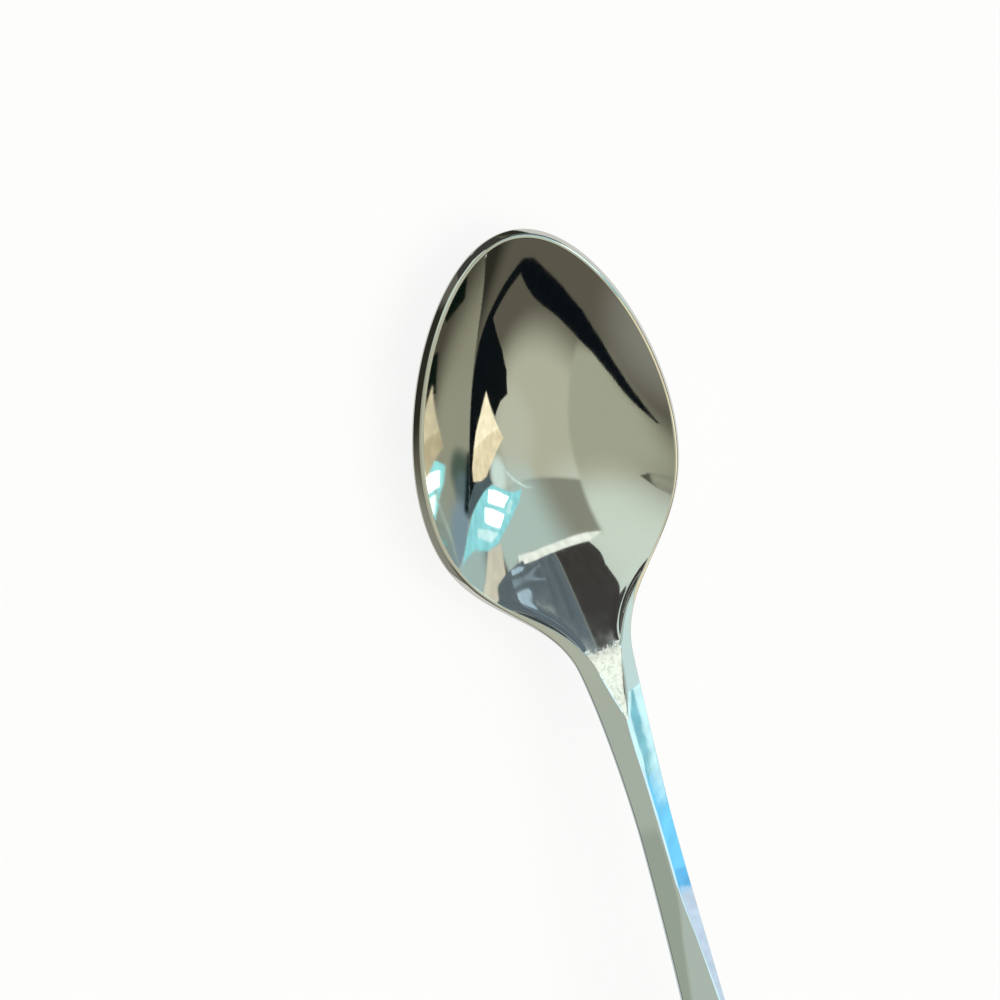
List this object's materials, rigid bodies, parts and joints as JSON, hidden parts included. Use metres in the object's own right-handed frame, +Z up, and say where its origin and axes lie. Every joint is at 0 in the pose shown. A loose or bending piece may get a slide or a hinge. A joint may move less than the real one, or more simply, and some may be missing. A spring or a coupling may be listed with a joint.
{
  "type": "iced teaspoon",
  "caption": "Long-handled iced teaspoon in polished stainless steel: egg-shaped bowl, fluted neck, bevelled handle with a ridge that opens into a flat panel and a round end.",
  "frame": {"origin": "on the table under the middle of the spoon's length and width, as it lies at rest with the bowl facing up", "axes": "+Z up out of the bowl, +Y along the spoon towards the tip of the bowl, +X across it"},
  "size_m": [0.0304, 0.19, 0.0185],
  "materials": {
    "polished_steel": "polished"
  },
  "bodies": {
    "root": {"bowl": "polished_steel", "handle": "polished_steel"}
  },
  "joints": []
}
